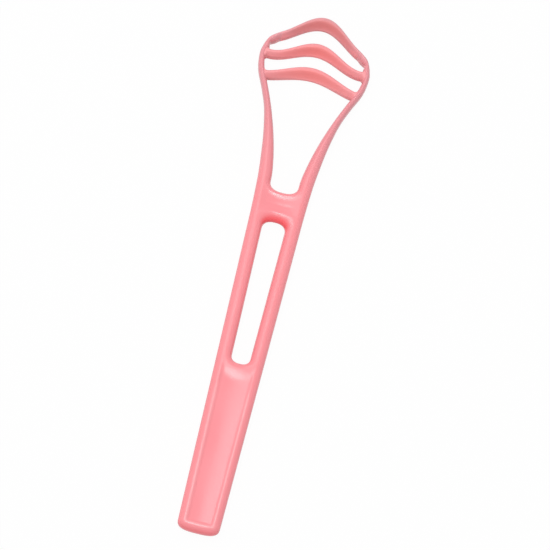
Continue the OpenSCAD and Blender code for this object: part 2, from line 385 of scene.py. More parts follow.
@dataclass
class HandlePlate:
    """Grip, rails and neck: one plate in plan, with round edges and round rims, cut in four.

    The plan's points are about one spacing apart. The point of a rim that is nearest to the end of
    a seam moves onto it from within the snap. A ring of the rounding keeps the points that no
    outline is nearer to than its inset, less the slack. The grid starts past the rounding by the
    grid gap, and loose points stay clear of the seams. Snap and grid gap are shares of the spacing.
    """

    spacing: float = 0.4
    ring_steps: int = 10
    merge: float = 5.0
    # Painted shade on the walls and the free end, and a painted highlight along the panel's crest
    wall_shade: float = 0.12
    end_shade: float = 0.45
    wall_reach: float = 1.0
    wall_lead: float = 0.6
    rim_extra: float = 0.9
    crest_highlight: float = 0.09
    crest_highlight_w: float = 0.4
    end_points: int = 60
    side_points: int = 40
    hole_points: int = 50
    beyond: float = 3.0
    snap: float = 0.75
    slack: float = 0.004
    grid_half: float = 9.0
    row_share: float = 0.9
    grid_gap: float = 0.3
    clear: float = 0.15
    on_rim: float = 0.01
    past_seam: float = 1e-6
    digits: int = 6
    weld: float = 1e-5
    relief: Relief = field(default_factory=Relief)

    def outer_line(self, top: float) -> Array:
        """Outline from the left side, round the free end, to the right side.

        Args:
            top: Where the line starts and ends along the part.

        Returns:
            The line, with the plastic on its left.
        """
        d = DRAWING
        across, along = round_corner(d.end_power, self.end_points)
        y = d.end_y + d.end_round * along
        side_y = np.linspace(y[-1], top, self.side_points)[1:]
        end = np.stack([d.half_width(y) * across, y], 1)
        right = np.concatenate([end, np.stack([d.half_width(side_y), side_y], 1)])
        return resampled(np.concatenate([mirrored(right), right[1:]]), self.spacing)

    def slot_line(self) -> Array:
        """The finger slot's rim, closed, with the plastic on its left."""
        d = DRAWING
        across, along = round_corner(d.hole_power, self.hole_points)
        low = [d.slot_half(d.rail_y0) * across, d.slot_y0 + d.slot_low_round * along]
        high = [d.slot_half(d.rail_y1) * across, d.slot_y1 - d.slot_high_round * along]
        right = np.concatenate([np.stack(low, 1), np.stack(high, 1)[::-1]])
        left = resampled(mirrored(right), self.spacing)
        return np.concatenate([resampled(right, self.spacing), left[1:]])[::-1]

    def opening_line(self, top: float) -> Array:
        """The U-shaped rim of the head's opening, with the plastic on its left."""
        d = DRAWING
        across, along = round_corner(d.hole_power, self.hole_points)
        x = d.opening_w / 2 * across
        bend = np.stack([x, d.opening_y0 + d.opening_round * along], 1)
        right = np.concatenate([bend, [[x[-1], top]]])
        return resampled(np.concatenate([mirrored(right), right[1:]]), self.spacing)[::-1]

    def build(self, finish: "Finish") -> list[bpy.types.Object]:
        """Builds the plate and cuts it into its four regions.

        Args:
            finish: What the regions are finished with.

        Returns:
            The grip, the two rails and the neck.
        """
        beyond = DRAWING.arm_y0 + self.beyond
        outlines = [
            Outline(self.outer_line(beyond)),
            Outline(self.slot_line()),
            Outline(self.opening_line(beyond)),
        ]
        places, triangles = self.plan(outlines)
        gaps = [line.nearest(places) for line in outlines]
        distance = np.min([gap for gap, _ in gaps], axis=0)
        which = np.argmin([gap for gap, _ in gaps], axis=0)
        inward = np.stack([way for _, way in gaps])[which, np.arange(len(places))]
        reach = DRAWING.edge_r * (1 + self.rim_extra * (which == 1) * ease(inward[:, 1]))
        sheet = self.sheet(places, distance, inward, reach)
        x, y = places[triangles].mean(axis=1).T
        beside = (y > DRAWING.rail_y0) & (y < DRAWING.rail_y1)
        regions = {
            "grip": y < DRAWING.rail_y0,
            "left_rail": beside & (x < 0),
            "right_rail": beside & (x > 0),
            "neck": y > DRAWING.rail_y1,
        }
        made = []
        for node, inside in regions.items():
            shell = self.region(triangles[inside], sheet)
            shell.depth = self.painted_shade_and_highlight(shell.points)
            made.append(finish.dress(shell.make(f"{node}_moulding", finish.material), node))
        return made

    def painted_shade_and_highlight(self, points: Array) -> Array:
        """Painted shade and highlight: deeper colour on the walls, most on the slot's far wall, and
        a paler crest round the panel.

        Args:
            points: Points of the plate, three numbers a row.

        Returns:
            Painted shade per point, 0 on top, up to 1 on the slot's far wall; below 0, painted
            highlight.
        """
        d, panel = DRAWING, self.relief
        x, y, z = points.T
        # Painted shade: walls below the top are deepened, most the slot's far wall and the free end
        low = ease((d.handle_t - z) / self.wall_reach)
        at_slot = ease((y - d.rail_y1 + self.wall_lead) / d.slot_high_round)
        at_slot *= ease((d.slot_y1 + 2 * d.edge_r - y) / d.edge_r)
        at_slot *= np.abs(x) < d.slot_half(y) + d.edge_r / 2
        at_end = self.end_shade * ease((d.end_y + d.end_round - y) / d.end_round)
        deeper = low * np.maximum(np.maximum(at_slot, at_end), self.wall_shade)
        # Painted highlight: the crest round the panel is paled towards white
        border = np.minimum(d.half_width(y) - d.edge_r - np.abs(x), y - panel.panel_y0)
        crest = np.exp(-((border / self.crest_highlight_w) ** 2)) * (z > d.handle_t / 2)
        crest *= ease((panel.panel_y1 - panel.panel_fade - y) / panel.panel_fade)
        return deeper - self.crest_highlight * crest

    def insets(self) -> Array:
        """Distances from an outline at which the rounding gets its points."""
        turn = np.linspace(0.0, np.pi / 2, self.ring_steps + 1)
        return DRAWING.edge_r * (1 - np.cos(turn))

    def cut_line(self, y: float, inner: float) -> Array:
        """Points across the right rail or arm where two regions meet, from the hole outwards."""
        outer = float(DRAWING.half_width(y))
        reach = self.insets()[:-1]
        middle = (inner + outer) / 2
        x = np.concatenate([inner + reach, [middle], (outer - reach)[::-1]])
        x = np.unique(np.round(x, self.digits))
        return np.stack([x, np.full(len(x), y)], 1)

    def plan(self, outlines: list[Outline]) -> tuple[Array, Array]:
        """Fills the plate's plan with triangles.

        Args:
            outlines: The outer line, the slot's rim and the opening's rim.

        Returns:
            The points in plan, and three of their numbers a row.
        """
        d = DRAWING
        seams = [(y, float(d.slot_half(y))) for y in (d.rail_y0, d.rail_y1)]
        seams.append((d.arm_y0, d.opening_w / 2))
        points: list[Array] = []
        edges: list[tuple[int, int]] = []

        def lay(line: Array) -> None:
            """Adds a line of points whose edges are kept."""
            start = sum(len(p) for p in points)
            points.append(line)
            edges.extend((start + k, start + k + 1) for k in range(len(line) - 1))

        for y, inner in seams:
            line = self.cut_line(y, inner)
            lay(line)
            lay(mirrored(line))
        for line in outlines:
            rim = line.points[line.points[:, 1] <= d.arm_y0 + self.past_seam]
            for y, inner in seams:
                for x in (inner, float(d.half_width(y))):
                    for side in Side:
                        spot = [side.value * x, y]
                        near = np.linalg.norm(rim - spot, axis=1)
                        if near.min() < self.snap * self.spacing:
                            rim[near.argmin()] = spot
            lay(rim)
        kept = []
        for line in outlines:
            for inset in self.insets()[1:]:
                ring = line.ring(inset)
                gap = np.min([other.nearest(ring)[0] for other in outlines], axis=0)
                kept.append(ring[gap > inset - self.slack])
        grid_x = np.arange(-self.grid_half, self.grid_half, self.spacing)
        grid_y = np.arange(d.end_y, d.arm_y0, self.spacing * self.row_share)
        grid = np.stack(np.meshgrid(grid_x, grid_y), axis=-1)
        grid[1::2, :, 0] += self.spacing / 2
        grid = grid.reshape(-1, 2)
        gap = np.min([line.nearest(grid)[0] for line in outlines], axis=0)
        inside = self.inside(grid, outlines)
        kept.append(grid[inside & (gap > d.edge_r + self.grid_gap * self.spacing)])
        loose = np.concatenate(kept)
        loose = loose[loose[:, 1] < d.arm_y0 - self.clear]
        for y, _ in seams[:2]:
            loose = loose[np.abs(loose[:, 1] - y) > self.clear]
        points.append(loose)
        every = np.concatenate(points)
        found = delaunay_2d_cdt([Vector(p) for p in every.tolist()], edges, [], 0, self.weld)
        places = np.array([tuple(p) for p in found[0]])
        triangles = np.array([tuple(f) for f in found[2]])
        keep = self.inside(places[triangles].mean(axis=1), outlines)
        triangles = triangles[keep]
        a, b, c = (places[triangles[:, k]] for k in range(3))
        area = (b - a)[:, 0] * (c - a)[:, 1] - (b - a)[:, 1] * (c - a)[:, 0]
        triangles[area < 0] = triangles[area < 0][:, ::-1]
        return places, triangles[np.abs(area) > TINY]

    @staticmethod
    def inside(places: Array, outlines: list[Outline]) -> Array:
        """Which points in plan lie in the plastic, below the arms."""

        def within(loop: Array) -> Array:
            """Which points a closed line goes round."""
            x, y = places[:, 0:1], places[:, 1:2]
            a, b = loop, np.roll(loop, -1, axis=0)
            cross = (a[:, 1] > y) != (b[:, 1] > y)
            with np.errstate(divide="ignore", invalid="ignore"):
                at = (b[:, 0] - a[:, 0]) * (y - a[:, 1]) / (b[:, 1] - a[:, 1]) + a[:, 0]
            return (cross & (x < at)).sum(axis=1) % 2 == 1

        outer, slot, opening = (line.points for line in outlines)
        body = within(outer) & (places[:, 1] < DRAWING.arm_y0)
        return body & ~within(slot) & ~within(opening)

    def sheet(self, places: Array, distance: Array, inward: Array, reach: Array) -> Sheet:
        """Lifts the plan to the top and the underside.

        Args:
            places: The points in plan.
            distance: How far each is from the nearest outline.
            inward: The direction into the plastic at each.
            reach: How far from the outline the rounding goes at each.

        Returns:
            The plan with the points and normals of both.
        """
        rx, rz = reach, DRAWING.edge_rz
        cosine = np.clip(1 - distance / rx, 0.0, 1.0)
        sine = np.sqrt(1 - cosine**2)
        rounded, sunk = rz * (1 - sine), self.relief.depth(places)
        fall = (rounded**self.merge + sunk**self.merge) ** (1 / self.merge)
        by_round = (rounded / np.maximum(fall, TINY)) ** (self.merge - 1)
        by_sunk = (sunk / np.maximum(fall, TINY)) ** (self.merge - 1)
        flat = -inward * (rz * cosine)[:, None]
        level = (rx * sine)[:, None]
        slope = self.relief.slope(places) * level
        leaning = flat * by_round[:, None] + slope * by_sunk[:, None]
        top = np.column_stack([places, DRAWING.handle_t - fall])
        under = np.column_stack([places, rz - rz * sine])
        normals = (unit(np.hstack([leaning, level])), unit(np.hstack([flat, -level])))
        return Sheet(places, distance, inward, top, under, *normals)

    def region(self, triangles: Array, sheet: Sheet) -> Shell:
        """Closes the triangles of one region into a shell, with flat faces where it is cut.

        Args:
            triangles: The region's triangles in plan.
            sheet: The plan that they are part of.

        Returns:
            The closed shell.
        """
        used, flat = np.unique(triangles, return_inverse=True)
        flat = flat.reshape(triangles.shape)
        count = len(used)
        shell = Shell(np.concatenate([sheet.top[used], sheet.under[used]]), np.zeros(2 * count))
        upper, lower = sheet.top_normals[used], sheet.under_normals[used]
        for a, b, c in flat:
            shell.add((a, b, c), (upper[a], upper[b], upper[c]))
            shell.add((count + c, count + b, count + a), (lower[c], lower[b], lower[a]))
        half_edges = {(int(t[k]), int(t[(k + 1) % 3])) for t in flat for k in range(3)}
        for a, b in half_edges:
            if (b, a) in half_edges:
                continue
            pair = used[[a, b]]
            on_rim = sheet.distance[pair].max() < self.on_rim
            step = np.diff(sheet.places[pair], axis=0)[0]
            square = unit(np.array([step[1], -step[0], 0.0]))
            ways = [-np.append(sheet.inward[k], 0.0) if on_rim else square for k in pair]
            shell.add((b, a, count + a, count + b), (ways[1], ways[0], ways[0], ways[1]))
        return shell


@dataclass
class Arm:
    """One arm of the head with its shoulder: a round bar that turns with its outer edge."""

    side: Side
    shares: tuple[tuple[float, float, float, float, float], ...] = (
        (0, 0, 0, 1, 0),
        (0.074, 0.123, 5, 0.895, 0),
        (0.193, 0.263, 10, 0.54, 0),
        (0.383, 0.404, 17, 0.166, 0),
        (0.625, 0.509, 24, 0.08, 0),
        (0.909, 0.614, 16, 0.08, 0),
        (1, 0.703, 0, 0.02, 0),
        (0.957, 0.755, -14, 0.18, 0),
        (0.877, 0.79, -32, -0.08, 0.12),
        (0.782, 0.816, -58, 0.1, 0.5),
        (0.606, 0.839, -78, 0.24, 0.95),
    )
    steps: int = 14
    corner_steps: int = 8
    face_steps: int = 6
    # Painted sheen where the arm turns into the tip blade
    tip_sheen: float = 0.06
    bar_share: float = 0.49
    nudge: float = 0.02
    probe: float = 0.05

    def rows(self) -> Array:
        """Outer edge, turn, width, thickness and wedge at the stations, with a lead at each end.

        Returns:
            One station a row. The first and last only give the direction of what is joined.
        """
        d = DRAWING
        start = float(d.half_width(d.arm_y0))
        wide = start - d.opening_w / 2
        rows = [
            [
                mix(start, d.head_half, s[0]),
                mix(d.arm_y0, d.tip_y, s[1]),
                s[2],
                mix(d.cheek_w, wide, s[3]),
                mix(d.handle_t, d.head_t, s[1]),
                s[4],
            ]
            for s in self.shares
        ]
        x = d.shoulder_x
        rows.append(self.tip_row(x))
        stations = np.array(rows)
        into_neck = np.array([-self.flare(), -1.0, 0.0, -self.flare(), 0.0, 0.0])
        ahead, behind = self.tip_row(x - self.probe), self.tip_row(x + self.probe)
        into_blade = (ahead - behind) / (2 * self.probe)
        into_blade /= np.linalg.norm(into_blade[:2])
        first = self.lead(stations[1], stations[0], into_neck)
        return np.vstack([first, stations, self.lead(stations[-2], stations[-1], into_blade)])

    @staticmethod
    def tip_row(x: float) -> Array:
        """Station of the tip blade's outer edge at a place across it."""
        d = DRAWING
        bow = d.tip_bow(x)
        width = mix(d.blade_w, d.blade_end_w, bow)
        return np.array([x, d.tip_y - d.tip_rise * bow, -90.0, width, d.head_t, 1.0])

    def flare(self) -> float:
        """How fast the neck widens where the arms start."""
        y, probe = DRAWING.arm_y0, self.probe
        rise = float(DRAWING.half_width(y + probe) - DRAWING.half_width(y - probe))
        return rise / (2 * probe)

    @staticmethod
    def lead(far: Array, near: Array, along: Array) -> Array:
        """A row beyond an end, so that the curve leaves that end in a given direction."""
        return far + 2 * np.linalg.norm((near - far)[:2]) * along

    @staticmethod
    def spline(rows: Array, at: Array) -> Array:
        """Rows on the smooth curve through the stations.

        Args:
            rows: The stations, with one lead at each end.
            at: Places on the curve, where 0 is the first real station.

        Returns:
            One row for each place.
        """
        last = len(rows) - 4
        i = np.clip(np.floor(at).astype(int), 0, last)
        f = (at - i)[:, None]
        a, b, c, d = (rows[i + k] for k in range(4))
        square = (2 * a - 5 * b + 4 * c - d) * f**2
        return 0.5 * (2 * b + (c - a) * f + square + (3 * b - a - 3 * c + d) * f**3)

    def section(self, width: float, thick: float, wedge: float) -> Array:
        """Section of the bar: a full round, or the wedge of a blade.

        Args:
            width: Width of the section.
            thick: Height of the section.
            wedge: Share of the way from the round bar to the blade.

        Returns:
            Distance out from the inner edge, and height, one point a row.
        """
        d = DRAWING
        lift = wedge * d.blade_lift
        high = thick - lift
        rx = mix(self.bar_share * width, d.crest_r, wedge)
        rz = mix(d.round_share * high / 2, d.crest_r, wedge)
        crest = mix(self.bar_share * width, d.crest_share * width, wedge)
        fall = mix(d.round_share * high / 2, d.crest_fall, wedge)
        quarter = np.linspace(0.0, np.pi / 2, self.corner_steps + 1)
        corners = []
        centres = (
            (width - crest, high - fall, crest, fall),
            (rx, high - rz, rx, rz),
            (rx, rz, rx, rz),
            (width - rx, rz, rx, rz),
        )
        for k, (s, z, across, up) in enumerate(centres):
            turn = quarter + k * np.pi / 2
            corners.append(np.stack([s + across * np.cos(turn), z + up * np.sin(turn)], 1))
        face = np.linspace(width - crest, rx, self.face_steps + 2)[1:-1]
        corners.insert(1, np.stack([face, np.full(len(face), high)], 1))
        flat = np.concatenate(corners)
        drop = wedge * (1 - d.blade_back_h / high) * min(width / d.blade_w, 1.0) ** d.blade_fade
        share = ease(flat[:, 0] / (width - crest))
        flat[:, 1] = lift + flat[:, 1] * (1 - drop * (1 - share))
        return flat

    def ring(self, row: Array) -> Array:
        """The section of one station, in place."""
        x, y, turn, width, thick, wedge = row
        angle = math.radians(turn)
        flat = self.section(width, thick, float(np.clip(wedge, 0.0, 1.0)))
        inset = (width - flat[:, 0])[:, None]
        plan = np.array([x, y]) - inset * np.array([math.cos(angle), -math.sin(angle)])
        plan[:, 0] = np.minimum(plan[:, 0], DRAWING.head_half)
        return np.column_stack([plan * [self.side.value, 1], flat[:, 1]])

    def surface(self) -> tuple[Array, Array, Array]:
        """Points, outward normals and painted sheen of the bar, station by station."""
        rows = self.rows()
        last = len(rows) - 3
        at = np.linspace(0.0, last, self.steps * last + 1)
        placed = self.spline(rows, at)
        rings, after, before = (
            np.stack([self.ring(row) for row in stations])
            for stations in (
                placed,
                self.spline(rows, at + self.nudge),
                self.spline(rows, at - self.nudge),
            )
        )
        around = np.roll(rings, -1, axis=1) - np.roll(rings, 1, axis=1)
        normals = unit(np.cross(around, after - before)) * -self.side.value
        # Painted sheen: the arm pales towards white as it turns into the tip blade
        painted_sheen = -self.tip_sheen * np.clip(placed[:, 5], 0.0, 1.0)
        return rings, normals, np.repeat(painted_sheen, rings.shape[1])

    def build(self, finish: "Finish") -> bpy.types.Object:
        """Builds the arm.

        Args:
            finish: What it is finished with.

        Returns:
            The finished piece.
        """
        rings, normals, depth = self.surface()
        rows, n = rings.shape[:2]
        shell = Shell(rings.reshape(-1, 3), depth)
        flat = normals.reshape(-1, 3)
        for j in range(rows - 1):
            for i in range(n):
                a, b = j * n + i, j * n + (i + 1) % n
                face = [a, b, b + n, a + n]
                if self.side is Side.RIGHT:
                    face.reverse()
                shell.add(face, [flat[k] for k in face])
        for j, sign in ((0, -1), (rows - 1, 1)):
            ring = list(range(j * n, j * n + n))
            if sign * self.side.value > 0:
                ring.reverse()
            way = unit(np.cross(rings[j][1] - rings[j][0], rings[j][n // 2] - rings[j][0]))
            middle = rings[j].mean(axis=0) - rings[j + (1 if j == 0 else -1)].mean(axis=0)
            shell.add(ring, [way * np.sign(way @ middle)] * n)
        node = f"{self.side.name.lower()}_arm"
        return finish.dress(shell.make(f"{node}_moulding", finish.material), node)


def operation(kind: str, swapped: bool = False) -> Callable[["Term", object], "Term"]:
    """A method of Term that writes a Math node.

    Args:
        kind: What the node does.
        swapped: Whether the term is its second value.

    Returns:
        The method.
    """

    def write(term: "Term", other: object) -> "Term":
        """Writes the node."""
        return term.writer.math(kind, *((other, term) if swapped else (term, other)))

    return write


class Term:
    """A value in a node tree, whose arithmetic is written as linked nodes.

    Args:
        writer: The writer of its tree.
        socket: Where the value comes out.
    """

    def __init__(self, writer: "NodeWriter", socket: Socket) -> None:
        """Keeps the writer and the socket."""
        self.writer, self.socket = writer, socket

    __add__ = operation("ADD")
    __sub__, __rsub__ = operation("SUBTRACT"), operation("SUBTRACT", swapped=True)
    __mul__ = operation("MULTIPLY")
    __truediv__ = operation("DIVIDE")
    __gt__, __lt__ = operation("GREATER_THAN"), operation("LESS_THAN")


class NodeWriter:
    """Writes nodes into a tree.

    Args:
        tree: The tree that gets the nodes.
    """

    def __init__(self, tree: bpy.types.NodeTree) -> None:
        """Keeps the tree."""
        self.tree = tree

    @classmethod
    def group(
        cls, name: str, kind: str, given: dict[str, str], made: dict[str, str]
    ) -> "NodeWriter":
        """Makes a group with named sockets.

        Args:
            name: Name of the group.
            kind: Type of its tree.
            given: Types of its inputs, by name.
            made: Types of its outputs, by name.

        Returns:
            A writer for the new group.
        """
        tree = bpy.data.node_groups.new(name, kind)
        for in_out, sockets in (("INPUT", given), ("OUTPUT", made)):
            for label, socket in sockets.items():
                tree.interface.new_socket(label, in_out=in_out, socket_type=f"NodeSocket{socket}")
        return cls(tree)

    def node(self, kind: str, **settings: object) -> bpy.types.Node:
        """Adds a node and gives it its settings."""
        made = self.tree.nodes.new(kind)
        for name, value in settings.items():
            setattr(made, name, value)
        return made

    def join(self, source: object, target: Socket) -> None:
        """Links a term or a socket to a target, or sets the target's value."""
        source = source.socket if isinstance(source, Term) else source
        if isinstance(source, Socket):
            self.tree.links.new(source, target)
        else:
            target.default_value = source

    def fill(self, node: bpy.types.Node, values: dict[str | int, object]) -> Term:
        """Joins values to a node's inputs, and gives its first output."""
        for label, value in values.items():
            self.join(value, node.inputs[label])
        return Term(self, node.outputs[0])

    def given(self) -> dict[str, Term]:
        """The inputs of the group, by name."""
        outputs = self.node("NodeGroupInput").outputs
        return {socket.name: Term(self, socket) for socket in outputs if socket.name}

    def parts(self, vector: object) -> list[Term]:
        """The three parts of a vector."""
        made = self.node("ShaderNodeSeparateXYZ")
        self.join(vector, made.inputs[0])
        return [Term(self, socket) for socket in made.outputs]

    def math(self, kind: str, *values: object) -> Term:
        """Result of a Math node."""
        return self.fill(self.node("ShaderNodeMath", operation=kind), dict(enumerate(values)))

    def blend(self, a: object, b: object, share: object) -> Term:
        """Value a share of the way from a to b."""
        return self.math("MULTIPLY_ADD", self.math("SUBTRACT", b, a), share, a)

    def smooth(self, value: object, start: object, end: object) -> Term:
        """Smooth step from 0 at the start to 1 at the end."""
        made = self.node("ShaderNodeMapRange", interpolation_type="SMOOTHSTEP")
        return self.fill(made, {"Value": value, "From Min": start, "From Max": end})

    def noise(self, place: object, scale: float, detail: float) -> Term:
        """Value of a noise texture at a place."""
        made = self.node("ShaderNodeTexNoise")
        self.fill(made, {"Vector": place, "Scale": scale, "Detail": detail})
        return Term(self, made.outputs["Fac"])

    def tinge(self, share: object, a: object, b: object, way: str = "MIX") -> Term:
        """Colour a share of the way from a to what b makes of it."""
        made = self.node("ShaderNodeMix", data_type="RGBA", blend_type=way)
        self.fill(made, {"Factor": share, 6: a, 7: b})
        return Term(self, made.outputs[2])

    def shown(self, share: float, lit: Socket, plain: Socket) -> Socket:
        """Shader that lights as it is, and looks plain by a share where a ray sees it."""
        path = self.node("ShaderNodeLightPath").outputs
        seen = self.math("MAXIMUM", path["Is Camera Ray"], path["Is Glossy Ray"])
        seen = self.math("MAXIMUM", seen, path["Is Transmission Ray"])
        made = self.node("ShaderNodeMixShader")
        return self.fill(made, {0: seen * share, 1: lit, 2: plain}).socket

    def then(self, shape: Term, kind: str, values: dict[str, object], **settings: object) -> Term:
        """Adds a node that changes the geometry."""
        return self.fill(self.node(kind, **settings), {0: shape, **values})


@dataclass
class ArchedBlade:
    """A blade that bows along a cosine curve and rises from a low back edge to its ridge.

    Its colour is deepened by painted shade over two runs across the face, as shares of the
    width, and the painted shade fades by a share over a run towards the roots.
    """

    node: str
    offset: float
    rise: float
    span: float
    reach: float
    root_start: float = NO_ROOT
    root_front: float = 0.0
    root_back: float = 0.0
    root_rise: float = 0.0
    root_slant: float = 0.0
    stations: int = 140
    corner_steps: int = 8
    face_steps: int = 8
    weld: float = 2e-6
    end_gap: float = 0.01
    # Runs of the painted shade across the face, and its fade towards the roots
    shade_rise: tuple[float, float] = (-0.2, 0.28)
    shade_fall: tuple[float, float] = (0.45, 0.85)
    root_run: tuple[float, float] = (0.55, 1.0)
    root_shade_fade: float = 0.8

    def inputs(self) -> dict[str, float | int]:
        """Named inputs of the node tree, with lengths in millimetres."""
        d = DRAWING
        shared = {
            "Front": d.tip_y - self.offset,
            "Middle Width": d.blade_w,
            "End Width": d.blade_end_w,
            "Thickness": d.head_t,
            "Back Height": d.blade_back_h,
            "Fade": d.blade_fade,
            "Lift": d.blade_lift,
            "Crest": d.crest_r,
            "Crest Share": d.crest_share,
            "Crest Fall": d.crest_fall,
        }
        own = ("rise", "span", "reach", "root_start", "root_front", "root_back", "root_rise")
        own += ("root_slant", "stations", "corner_steps", "face_steps")
        return shared | {name.replace("_", " ").title(): getattr(self, name) for name in own}

    def tree(self, material: bpy.types.Material) -> bpy.types.NodeTree:
        """The node tree that shapes a blade, built once.

        Args:
            material: What the blades are finished with.

        Returns:
            The tree, whose inputs are the blade's sizes.
        """
        name = "arched blade"
        if name in bpy.data.node_groups:
            return bpy.data.node_groups[name]
        kinds = {k: "Int" if isinstance(v, int) else "Float" for k, v in self.inputs().items()}
        whole = {"Geometry": "Geometry"}
        w = NodeWriter.group(name, "GeometryNodeTree", whole | kinds, whole)
        given = w.given()
        reach, crest, face_steps = given["Reach"], given["Crest"], given["Face Steps"]
        columns = given["Stations"] + 3
        quarter = given["Corner Steps"] + 1
        around = quarter * 4 + face_steps
        sizes = {"Size X": 1.0, "Size Y": 1.0, "Vertices X": columns, "Vertices Y": around + 1}
        shape = w.fill(w.node("GeometryNodeMeshGrid"), sizes)
        place = w.parts(w.node("GeometryNodeInputPosition").outputs[0])
        column = w.math("ROUND", (place[0] + 0.5) * (columns - 1))
        row = w.math("ROUND", (place[1] + 0.5) * around)

        # Along the blade: the first and last columns close its ends to a point
        share = w.math("MINIMUM", w.math("MAXIMUM", column - 1, 0) / given["Stations"], 1)
        open_end = (column > 0.5) * (columns - 1.5 > column)
        x = reach * (1 - share * 2)
        far = w.math("ABSOLUTE", x)
        turn = w.math("MINIMUM", far / given["Span"], 1) * math.pi
        bow = (1 - w.math("COSINE", turn)) * 0.5
        width = w.blend(given["Middle Width"], given["End Width"], bow)
        thick = given["Thickness"] - given["Lift"]

        # Round the section: a quarter turn at each corner, and the face after the first one
        face_start = quarter - 0.5
        face_end = face_start + face_steps
        on_face = (row > face_start) * (face_end > row)
        turned = row - (row > face_end) * face_steps
        corner = w.math("FLOOR", (turned + 0.5) / quarter)
        step = (turned - corner * quarter) / given["Corner Steps"]
        angle = (corner + step) * (math.pi / 2)
        middle_angle = (corner + 0.5) * (math.pi / 2)
        half_w, half_t = width * 0.5, thick * 0.5
        first = (corner < 0.5) + (corner > 3.5)
        long_r = w.blend(crest, width * given["Crest Share"], first)
        high_r = w.blend(crest, given["Crest Fall"], first)
        way_s, way_z = (w.math("SIGN", w.math(kind, middle_angle)) for kind in ("COSINE", "SINE"))
        s = half_w + way_s * (half_w - long_r) + long_r * w.math("COSINE", angle)
        z = half_t + way_z * (half_t - high_r) + high_r * w.math("SINE", angle)
        ridge = width * (1 - given["Crest Share"])
        run = (row + 1 - quarter) / (face_steps + 1)
        s = w.blend(half_w, w.blend(s, w.blend(ridge, crest, run), on_face), open_end)
        z = w.blend(half_t, w.blend(z, thick, on_face), open_end)

        # The face climbs in an S from the low back edge to the ridge
        across = s / width
        below = 1 - w.smooth(s / ridge, 0, 1)
        slim = w.math("POWER", width / given["Middle Width"], given["Fade"])
        drop = (1 - given["Back Height"] / thick) * slim * below

        # Roots: the blade widens and its face climbs in quarter circles where it meets the arms
        root = given["Root Start"] + given["Root Slant"] * across
        near = w.math("MAXIMUM", far - root, 0)

        def flare(radius: Term) -> Term:
            """Sideways reach of a fillet at this station."""
            run = w.math("MINIMUM", near, radius)
            return radius - w.math("SQRT", radius * radius - run * run)

        z = given["Lift"] + z * (1 - drop) + flare(given["Root Rise"]) * (z / thick * below)
        outer = across * 2 - 1
        front = flare(given["Root Front"]) * w.math("MAXIMUM", outer, 0)
        back = flare(given["Root Back"]) * w.math("MAXIMUM", outer * -1, 0)
        y = given["Front"] - given["Rise"] * bow - width + s + (front - back)

        # Painted shade: a band across the face, which leans away from the lamps, is deepened, less
        # so at the roots
        face_shade = w.smooth(across, *self.shade_rise) - w.smooth(across, *self.shade_fall)
        rooted = w.smooth(far / reach, *self.root_run)
        depth = {"Name": SHADE_AND_HIGHLIGHT, "Value": face_shade * slim * (1 - rooted * self.root_shade_fade)}
        point = w.fill(w.node("ShaderNodeCombineXYZ"), {0: x * MM, 1: y * MM, 2: z * MM})
        at_end = w.math("ABSOLUTE", place[0]) / MM > reach - self.end_gap
        shape = w.then(
            shape, "GeometryNodeStoreNamedAttribute", depth, data_type="FLOAT", domain="POINT"
        )
        for kind, values in (
            ("GeometryNodeSetPosition", {"Position": point}),
            ("GeometryNodeMergeByDistance", {"Distance": self.weld}),
            ("GeometryNodeSetShadeSmooth", {}),
            ("GeometryNodeSetShadeSmooth", {"Selection": at_end, "Shade Smooth": False}),
            ("GeometryNodeRealizeInstances", {}),
            ("GeometryNodeSetMaterial", {"Material": material}),
        ):
            shape = w.then(shape, kind, values)
        w.join(shape, w.node("NodeGroupOutput").inputs[0])
        return w.tree

    def build(self, finish: "Finish") -> bpy.types.Object:
        """Builds the blade with its node tree and makes the result a plain mesh.

        Args:
            finish: What it is finished with.

        Returns:
            The finished piece.
        """
        tree = self.tree(finish.material)
        carrier = linked(f"{self.node}_shape", bpy.data.meshes.new("shape"))
        modifier = carrier.modifiers.new("shape", "NODES")
        modifier.node_group = tree
        sockets = {
            item.name: item.identifier
            for item in tree.interface.items_tree
            if item.item_type == "SOCKET" and item.in_out == "INPUT"
        }
        for label, value in self.inputs().items():
            modifier[sockets[label]] = value
        ready = carrier.evaluated_get(bpy.context.evaluated_depsgraph_get())
        mesh = bpy.data.meshes.new_from_object(ready)
        mesh.name = f"{self.node}_moulding"
        bpy.data.objects.remove(carrier)
        return finish.dress(linked(f"{self.node}_moulding", mesh), self.node)


